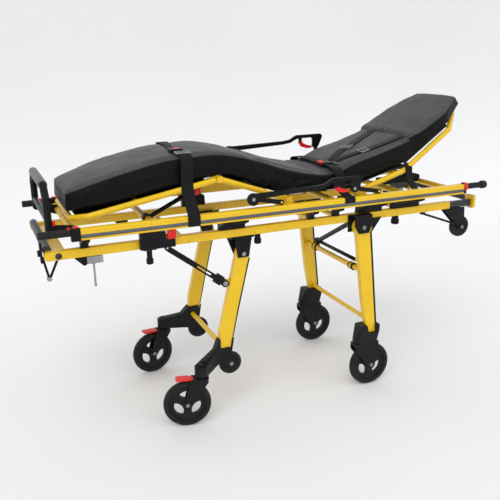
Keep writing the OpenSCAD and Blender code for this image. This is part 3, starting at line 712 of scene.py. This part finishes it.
def make_leg_strap():
    top = [(-0.385, 0.216, 1.060), (-0.386, 0.2175, 1.085), (-0.389, 0.214, 1.112), (-0.394, 0.195, 1.1245),
           (-0.402, 0.120, 1.130), (-0.414, 0.030, 1.1325), (-0.428, -0.060, 1.1310), (-0.432, -0.110, 1.1285)]
    ups = [(0, 1, 0), (0, 1, 0.1), (0, 0.8, 0.6), (0, 0.2, 1), (0, 0.05, 1), (0, 0, 1), (0, -0.05, 1), (0, -0.1, 1)]
    strap = band("leg_strap.over", top, ups, 0.048, WEBBING,
                 widths=[0.048, 0.048, 0.048, 0.046, 0.040, 0.030, 0.026, 0.040])
    put(strap, "calf")
    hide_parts("leg_strap")
    edge = [(-0.428, -0.118, 1.1275), (-0.418, -0.160, 1.1265), (-0.412, -0.196, 1.1235), (-0.411, -0.2155, 1.112),
            (-0.412, -0.2205, 1.085), (-0.414, -0.2215, 1.050)]
    outs = [(0, 0, 1), (0, -0.1, 1), (0, -0.5, 1), (0, -1, 0.5), (0, -1, 0), (0, -1, 0)]
    put(band("leg_strap.edge", edge, outs, 0.050, DARK_WEBBING), "calf")
    drop = [(-0.413, -0.2225, 1.078), (-0.415, -0.2250, 1.030), (-0.417, -0.2330, 0.990), (-0.418, -0.262, 0.950),
            (-0.419, -0.292, 0.920), (-0.4195, -0.3085, 0.900), (-0.4195, -0.3092, 0.875), (-0.4195, -0.3070, 0.862)]
    outs = [(0, -1, 0)] * 3 + [(0, -1, 0.4), (0, -1, 0.5), (0, -1, 0), (0, -1, 0), (0, -1, -0.3)]
    hang = put(band("leg_strap.drop", drop, outs, 0.050, DARK_WEBBING), "litter")
    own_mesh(hang)
    buckle = rounded_box("leg_strap.buckle", (-0.452, -0.148, 1.1275), (-0.402, -0.108, 1.1385), BLACK_PLASTIC, 0.003)
    put(buckle, "calf")
    tongue = rounded_box("leg_strap.tongue", (-0.446, -0.112, 1.1300), (-0.408, -0.084, 1.1350), STEEL, 0.0015)
    put(tongue, "calf")
    press = rounded_box("leg_strap.press", (-0.440, -0.140, 1.1380), (-0.414, -0.122, 1.1402), RED_PLASTIC, 0.0008)
    put(press, "calf")
    ladder_buckle("leg_strap.slide", (-0.416, -0.178, 1.1290), (0, -1, -0.1), (0, -0.1, 1), 0.050, STEEL, "calf")


def rail_loop(name, x0, x1, s):
    """Webbing wound once round an upper rail."""
    y_in, y_out, z0, z1 = 0.2755, 0.3065, 0.8585, 0.9035
    half = 0.0016
    x = (x0 + x1) / 2
    loop = [(x, s * (y_out + half), 0.881), (x, s * (y_out + half), z1 - 0.006), (x, s * (y_out - 0.004), z1 + half),
            (x, s * RAIL_Y, z1 + half), (x, s * (y_in + 0.004), z1 + half), (x, s * (y_in - half), z1 - 0.006),
            (x, s * (y_in - half), 0.881), (x, s * (y_in - half), z0 + 0.008)]
    outs = [(0, s, 0), (0, s, 0.2), (0, s * 0.5, 1), (0, 0, 1), (0, -s * 0.5, 1), (0, -s, 0.2), (0, -s, 0),
            (0, -s, 0)]
    return put(band(name, loop, outs, x1 - x0, DARK_WEBBING, step=0.003), "litter")


def make_harness():
    up = Vector((-0.30, 0, 0.954))
    low_up = (-0.25, 0, 1)
    for side, y0, y1, bx in (("left", -0.155, -0.134, 0.425), ("right", 0.085, -0.012, 0.410)):
        s0 = Vector((0.626, y0, 1.116))
        s1 = Vector((bx + 0.01, y1, 1.0625))
        mid = s0.lerp(s1, 0.5) + up * 0.004
        strap = put(band(f"harness.{side}", [s0, mid, s1], up, 0.046, WEBBING, over=up), "backrest")
        if side == "left":
            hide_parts("harness")
        seat = surface_over([s1], up, 0.006)[0]
        ladder_buckle(f"harness.slide_{side}", seat, s1 - s0, up, 0.046, STEEL, "backrest")
    lap = surface_over([Vector((0.272, -0.095, 1.020))], (0, 0, 1), 0.004)[0]
    for side, y1, bx in (("left", -0.134, 0.425), ("right", -0.012, 0.410)):
        a = Vector((bx - 0.005, y1, 1.0630))
        b = lap + Vector((0.030, 0.010 if side == "right" else -0.010, 0.004))
        m = a.lerp(b, 0.5) + Vector((0, 0, -0.004))
        put(band(f"harness.low_{side}", [a, m, b], low_up, 0.042, DARK_WEBBING, over=low_up), "litter")
    body = rounded_box("lap_buckle.body", (0.236, -0.130, 1.012), (0.290, -0.062, 1.027), BLACK_PLASTIC, 0.004)
    put(body, "litter")
    put(rounded_box("lap_buckle.press", (0.232, -0.116, 1.018), (0.250, -0.076, 1.030), RED_PLASTIC, 0.003), "litter")
    for i, (dx, dy) in enumerate(((0.036, 0.018), (0.040, -0.012), (0.022, -0.050))):
        tongue = rounded_box(f"lap_buckle.tongue{i}", (0.262 + dx, -0.098 + dy, 1.0225),
                             (0.288 + dx, -0.076 + dy, 1.0262), STEEL, 0.0012)
        put(tongue, "litter")
    near = [(0.262, -0.128, 1.018), (0.264, -0.165, 1.016), (0.266, -0.198, 1.009), (0.267, -0.2150, 0.990),
            (0.268, -0.2185, 0.960), (0.268, -0.232, 0.930), (0.268, -0.262, 0.912), (0.268, -0.284, 0.9065)]
    outs = [(0, 0, 1), (0, -0.1, 1), (0, -0.5, 1), (0, -1, 0.5), (0, -1, 0), (0, -1, 0.4), (0, -0.6, 1), (0, 0, 1)]
    put(band("lap_belt.left", near, outs, 0.046, DARK_WEBBING), "litter")
    far = [(0.262, -0.064, 1.019), (0.264, 0.030, 1.020), (0.266, 0.130, 1.017), (0.266, 0.198, 1.009),
           (0.267, 0.2155, 0.988), (0.268, 0.2190, 0.955), (0.268, 0.240, 0.925), (0.268, 0.284, 0.9065)]
    outs = [(0, 0, 1), (0, 0, 1), (0, 0.1, 1), (0, 0.5, 1), (0, 1, 0.5), (0, 1, 0), (0, 1, 0.6), (0, 0, 1)]
    put(band("lap_belt.right", far, outs, 0.046, WEBBING), "litter")
    for side, s in SIDES:
        rail_loop(f"lap_belt.loop_{side}", 0.243, 0.293, s)
    rail_loop("leg_strap.loop_right", -0.444, -0.395, 1)
    back = [(0.612, -0.2180, 1.003), (0.611, -0.2325, 0.990), (0.611, -0.2345, 0.965), (0.611, -0.248, 0.935),
            (0.611, -0.272, 0.912), (0.611, -0.286, 0.9055)]
    outs = [(0, -0.6, 1), (0, -1, 0.2), (0, -1, 0), (0, -1, 0.3), (0, -0.7, 1), (0, 0, 1)]
    tie = band("back_tie", back, outs, 0.036, DARK_WEBBING)
    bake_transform(tie)


# ---- trims ------------------------------------------------------------------
def bolt(name, at, axis, body, r=0.008, tall=0.005, mat=None):
    """A washer and a domed head with a small recess."""
    at, axis = Vector(at), Vector(axis).normalized()
    flat = [(0, 0), (r * 1.35, 0), (r * 1.45, 0.0004), (r * 1.45, 0.0012), (r * 1.3, WASHER), (0, WASHER)]
    dome = [(0, WASHER), (r, WASHER), (r, WASHER + tall * 0.35), (r * 0.85, WASHER + tall * 0.8),
            (r * 0.5, WASHER + tall), (r * 0.46, WASHER + tall), (r * 0.42, WASHER + tall * 0.45),
            (0, WASHER + tall * 0.45)]
    for part, profile in (("washer", flat), ("head", dome)):
        put(lathe(f"{name}.{part}", profile, at, axis, mat or STEEL, 32), body)


def make_bolts():
    foot, head = joint_at("foot_legs_fold"), joint_at("head_legs_fold")
    for side, s in SIDES:
        out = (0, s, 0)
        bolt(f"bolt.foot_pivot_{side}", (foot.x, s * 0.237, foot.z), out, "undercarriage", 0.0060, 0.0022)
        bolt(f"bolt.head_pivot_{side}", (head.x, s * 0.293, head.z), out, "undercarriage", 0.0065)
        bolt(f"bolt.rail_tip_{side}", (-0.926, s * 0.257, 0.798), out, "undercarriage", 0.0085, mat=DARK_TUBE)
        load = joint_at(f"loading_wheel_{side}_roll")
        bolt(f"bolt.loading_{side}", (load.x, s * 0.266, load.z), out, "undercarriage", 0.0055)
        small = joint_at(f"small_wheel_{side}_roll")
        bolt(f"bolt.small_{side}", (small.x, s * 0.232, small.z), out, "foot_legs", 0.0055)
        for k, x in enumerate((-0.43, -0.06, 0.47, 0.70)):
            bolt(f"rivet.lower_{side}{k}", (x, s * 0.257, 0.790), out, "undercarriage", 0.0035, 0.002, YELLOW)
        arm = joint_at(f"arm_{side}_level")
        bolt(f"bolt.arm_rear_{side}", (arm.x, s * 0.306, arm.z), out, f"arm_{side}", 0.0050, 0.002)
        front = arm + (joint_at(f"front_link_{side}_turn") - joint_at(f"rear_link_{side}_turn"))
        bolt(f"bolt.arm_front_{side}", (front.x, s * 0.306, front.z), out, f"arm_{side}", 0.0048, 0.002)
        for fork in ("foot", "head"):
            at, axis = joint_at(f"{fork}_wheel_{side}_roll"), joint_axis(f"{fork}_wheel_{side}_roll")
            for k, d in (("a", -1), ("b", 1)):
                bolt(f"bolt.{fork}_axle_{side}_{k}", at + axis * 0.0241 * d, axis * d, f"{fork}_fork_{side}", 0.0055)
    lug = joint_at("foot_leg_strut_turn")
    bolt("bolt.strut", (lug.x, -0.2242, lug.z), (0, -1, 0), "foot_legs", 0.007)
    bolt("bolt.hook", (-0.965, -0.247, 0.713), (0, -1, 0), "undercarriage", 0.006)


def make_leg_trims():
    for side, s in SIDES:
        foot = [(-0.2495, 0.338), (-0.222, 0.4565), (-0.171, 0.661), (-0.1655, 0.678), (-0.1585, 0.678),
                (-0.164, 0.659), (-0.215, 0.4548), (-0.2425, 0.338)]
        put(plate_y(f"guard.foot_{side}", foot, s * 0.205, s * 0.2262, BLACK_PLASTIC, 0.001), "foot_legs")
        head = [(0.4250, 0.303), (0.384, 0.736), (0.3895, 0.736), (0.3945, 0.733), (0.4345, 0.303)]
        put(plate_y(f"guard.head_{side}", head, s * 0.262, s * 0.2852, BLACK_PLASTIC, 0.001), "head_legs")


def make_brace_trims():
    """Black sleeves on the thin rod between the head legs and on the ends of the tube below it."""
    rod, tube = (0.378, 0.582), (0.369, 0.551)
    for k, (y0, y1) in enumerate(((-0.190, 0.1565), (0.1835, 0.190))):
        profile = [(0.0072, 0), (0.0082, 0), (0.0086, 0.0006), (0.0086, y1 - y0 - 0.0006), (0.0082, y1 - y0),
                   (0.0072, y1 - y0), (0.0072, 0)]
        sleeve = lathe(f"brace_rod.{k}", profile, (rod[0], y0, rod[1]), (0, 1, 0), BLACK_METAL, 40)
        put(sleeve, "head_legs")
    for side, s in SIDES:
        clamp = [(0.0118, 0), (0.0165, 0), (0.0176, 0.0012), (0.0176, 0.0090), (0.0168, 0.0100), (0.0168, 0.0230),
                 (0.0176, 0.0240), (0.0176, 0.0325), (0.0165, 0.0337), (0.0118, 0.0337), (0.0118, 0)]
        sleeve = lathe(f"brace_clamp.{side}", clamp, (tube[0], s * 0.1567, tube[1]), (0, s, 0), BLACK_METAL, 48)
        put(sleeve, "head_legs")


def make_rail_trims():
    """The grey stripe along each upper rail, and the dark line under it."""
    stripe = [(0.0, 0.870), (0.0013, 0.871), (0.0013, 0.881), (0.0, 0.882)]
    line = [(0, 0.8682), (0.8 * 0.0011, 0.8685), (0.8 * 0.0011, 0.8697), (0, 0.87)]
    for side, s in SIDES:
        for name, outline, mat in (("rail_stripe", stripe, GREY_PLASTIC), ("rail_line", line, DARK_TUBE)):
            rings = [[(x, s * (RAIL_OUTER_Y + d), z) for d, z in outline] for x in (-0.846, 0.864)]
            put(rings_mesh(f"{name}.{side}", rings, mat, smooth=False), "litter")


def grip_sleeve(name, a, b, r, mat, body, ribs=14):
    """A rubber sleeve with shallow rings and rounded ends."""
    a, b = Vector(a), Vector(b)
    length = (b - a).length
    profile = [(0, 0), (r * 0.8, 0), (r * 0.97, 0.0012), (r, 0.004)]
    span = length - 0.016
    for i in range(ribs):
        h = 0.008 + span * i / ribs
        w = span / ribs
        profile += [(r, h), (r - 0.0008, h + 0.15 * w), (r - 0.0008, h + 0.35 * w), (r, h + 0.5 * w)]
    profile += [(r, length - 0.004), (r * 0.97, length - 0.0012), (r * 0.8, length), (0, length)]
    return put(lathe(name, profile, a, b - a, mat, 48), body)


def make_grips():
    for side, s in SIDES:
        y, z = s * RAIL_Y, GRIP_Z
        grip = f"foot_grip_{side}"
        sleeve = grip_sleeve(f"{grip}.sleeve", (-0.880, y, z), (-0.996, y, z), 0.0142, SOFT_RUBBER, grip)
        put(round_rod(f"{grip}.stem", (-0.8805, y, z), (-0.690, y, z), 0.0079, STEEL, 32, 0.1), grip)
        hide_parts(grip)
        button = rounded_box(f"{grip}.button", (-0.892, y - 0.008, z + 0.0125),
                             (-0.874 - 0.008, y + 0.008, z + 0.0185), RED_PLASTIC, 0.002)
        put(button, grip)
        button = rounded_box(f"collar_button.{side}", (-0.872, y - 0.009, 0.9045), (-0.852, y + 0.009, 0.9105),
                             RED_PLASTIC, 0.0025)
        put(button, "litter")
        grip = f"head_grip_{side}"
        sleeve = grip_sleeve(f"{grip}.sleeve", (0.8856, y, z), (0.968, y, z), 0.0132, SOFT_RUBBER, grip, 10)
        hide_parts(grip)
        knob = [(0, 0), (0.0120, 0), (0.0165, 0.003), (0.0180, 0.008), (0.0180, 0.024), (0.0165, 0.0285),
                (0.012, 0.031), (0.0105, 0.029), (0, 0.0285)]
        put(lathe(f"{grip}.knob", knob, (0.965, y, z), (1, 0, 0), SOFT_RUBBER, 48), grip)
        put(round_rod(f"{grip}.stem", (0.700, y, z), (0.886, y, z), 0.0079, STEEL, 32, 0.1), grip)
        ring = [(0.0182, 0), (0.0196, 0.001), (0.0198, 0.004), (0.0198, 0.015), (0.0192, 0.018),
                (0.0182, 0.0185), (0.0182, 0)]
        put(lathe(f"head_collar.{side}", ring, (0.866, y, z), (1, 0, 0), RED_PLASTIC, 48), "litter")


def make_handle():
    """The grey sleeve on the push handle's top bar, and a red latch at each side."""
    at = joint_at("push_handle_fold")
    y = 0.215
    handle_top, bar_r = 1.062, 0.014
    profile = [(0.0148, 0), (0.0166, 0.0015), (0.0172, 0.006), (0.0172, 0.324), (0.0166, 0.3285), (0.0148, 0.330),
               (0.0148, 0)]
    start = (at.x, -y + 0.050, handle_top - bar_r)
    put(lathe("push_handle.sleeve", profile, start, (0, 1, 0), GREY_PLASTIC, 48), "push_handle")
    for side, s in SIDES:
        latch = rounded_box(f"push_handle.latch_{side}", (at.x + 0.013, s * y - 0.008, at.z + 0.012),
                            (at.x + 0.024, s * y + 0.008, at.z + 0.030), RED_PLASTIC, 0.002)
        put(latch, "push_handle")


def make_decks():
    """Thin black panels that the mattress lies on, one for each rigid section."""
    knee, hip, lumbar = joint_at("calf_tilt"), joint_at("thigh_tilt"), joint_at("backrest_tilt")
    spans = (("calf", (-0.840, 0.9205), (knee.x - 0.045, knee.z - 0.006), 0.200),
             ("thigh", (knee.x + 0.030, knee.z - 0.009), (hip.x - 0.030, hip.z + 0.011), 0.200),
             ("litter", (hip.x + 0.015, 0.9275), (lumbar.x - 0.050, 0.9275), 0.205),
             ("backrest", (0.385, 0.9405), (0.600, 0.9995), 0.200),
             ("backrest", (0.615, 1.0052), (0.835, 1.1594), 0.195))
    for i, (body, a, b, w) in enumerate(spans):
        d = Vector((b[0] - a[0], b[1] - a[1])).normalized()
        n = Vector((-d.y, d.x)) * 0.0035
        outline = [(p[0] + f * n.x, p[1] + f * n.y) for p, f in ((a, -1), (b, -1), (b, 1), (a, 1))]
        put(plate_y(f"deck_{i}", outline, -w, w, BLACK_PLASTIC, 0.001), body)
    knob = [(0, 0), (0.010, 0), (0.0135, 0.002), (0.0145, 0.008), (0.0145, 0.018), (0.012, 0.023), (0, 0.025)]
    put(lathe("knee_strut.knob", knob, (-0.356, -0.145, 0.966), (0, -1, 0), RED_PLASTIC, 32), "knee_strut")


def make_strut_channel():
    """The channel between two cross tubes that the lower end of the back strut runs in."""
    outer, inner, low, floor, high = 0.014, 0.011, 0.873, 0.879, 0.906
    profile = [(-outer, low), (outer, low), (outer, high), (inner, high), (inner, floor), (-inner, floor),
               (-inner, high), (-outer, high)]
    rings = [[(x, y, z) for y, z in profile] for x in (0.603, 0.837)]
    put(bevelled(rings_mesh("strut_channel", rings, BLACK_PLASTIC), 0.0008, 2), "litter")


def make_catch_trims():
    """The black gusset beside the lock catch and a thin steel cover plate next to it."""
    gusset = [(-0.872, 0.783), (-0.826, 0.783), (-0.826, 0.752), (-0.838, 0.748)]
    put(plate_y("lock_catch.gusset", gusset, -0.2550, -0.2500, BLACK_METAL, 0.001), "undercarriage")
    cover = [(-0.826, 0.7535), (-0.826, 0.781), (-0.772, 0.781), (-0.786, 0.7535)]
    put(plate_y("lock_catch.cover", cover, -0.2525, -0.2492, STEEL, 0.001), "undercarriage")


def make_bumper_tips():
    for side, s in SIDES:
        for k, (x, z, r) in enumerate(((-0.586, 0.717, 0.0112), (-0.130, 0.741, 0.0122), (0.542, 0.745, 0.0152))):
            tip = [(0, -0.001), (r * 0.7, -0.001), (r * 0.95, 0.001), (r * 1.02, 0.004), (r * 1.02, 0.012),
                   (r * 0.99, 0.013)]
            cap = lathe(f"bumper_{side}{k}", tip, (x, s * 0.242, z), (0, 0, 1), SOFT_RUBBER, 40)
            put(cap, "undercarriage")


# ---- studio ------------------------------------------------------------------
def soft_sun(name, towards, strength, spread):
    """A wide, even light that shines from the direction given."""
    data = bpy.data.lights.new(name, "SUN")
    data.energy, data.angle = strength, math.radians(spread)
    obj = bpy.data.objects.new(name, data)
    obj.matrix_world = Vector(towards).to_track_quat("Z", "Y").to_matrix().to_4x4()
    bpy.context.collection.objects.link(obj)


def make_studio():
    n = Nodes("studio_floor")
    height = n.tree.nodes.new("ShaderNodeSeparateXYZ")
    n.tree.links.new(n.coords, height.inputs[0])
    floor = n.ramp(n.noise(0.6, 2), 0.3, 0.7, (0.885, 0.885, 0.885), (0.905, 0.905, 0.905))
    wall = n.ramp(n.noise(0.5, 2), 0.3, 0.7, (0.815, 0.815, 0.82), (0.845, 0.845, 0.85))
    n.link(n.mix(n.range(height.outputs[2], 0.05, 0.9, 0.0, 1.0), floor, wall), "Base Color")
    n.shader.inputs["Roughness"].default_value = 0.8
    n.shader.inputs["Specular IOR Level"].default_value = 0.2
    rings = []
    for y, z in [(-9, 0), (1.4, 0)] + [(1.4 + 1.6 * math.sin(t), 1.6 - 1.6 * math.cos(t))
                                       for t in np.linspace(0.1, math.pi / 2, 12)] + [(3.0, 9)]:
        rings.append([(-12, y, z), (12, y, z)])
    verts = [p for r in rings for p in r]
    faces = [(2 * i, 2 * i + 1, 2 * i + 3, 2 * i + 2) for i in range(len(rings) - 1)]
    floor = make_mesh("studio", verts, faces, n.mat)
    world = bpy.data.worlds.new("studio_world")
    bpy.context.scene.world = world
    world.use_nodes = True
    background = world.node_tree.nodes["Background"]
    background.inputs["Color"].default_value = (0.93, 0.94, 0.96, 1)
    background.inputs["Strength"].default_value = 0.84
    bpy.context.scene.view_settings.view_transform = "Standard"
    soft_sun("key", (-0.35, -0.50, 0.80), 0.76, 40)
    soft_sun("fill", (0.55, -0.60, 0.55), 0.25, 60)


make_camera()
finish_cad_nodes()
make_wheels()
make_mattress()
make_leg_strap()
make_harness()
make_bolts()
make_leg_trims()
make_brace_trims()
make_rail_trims()
make_grips()
make_handle()
make_decks()
make_strut_channel()
make_catch_trims()
make_bumper_tips()
make_studio()
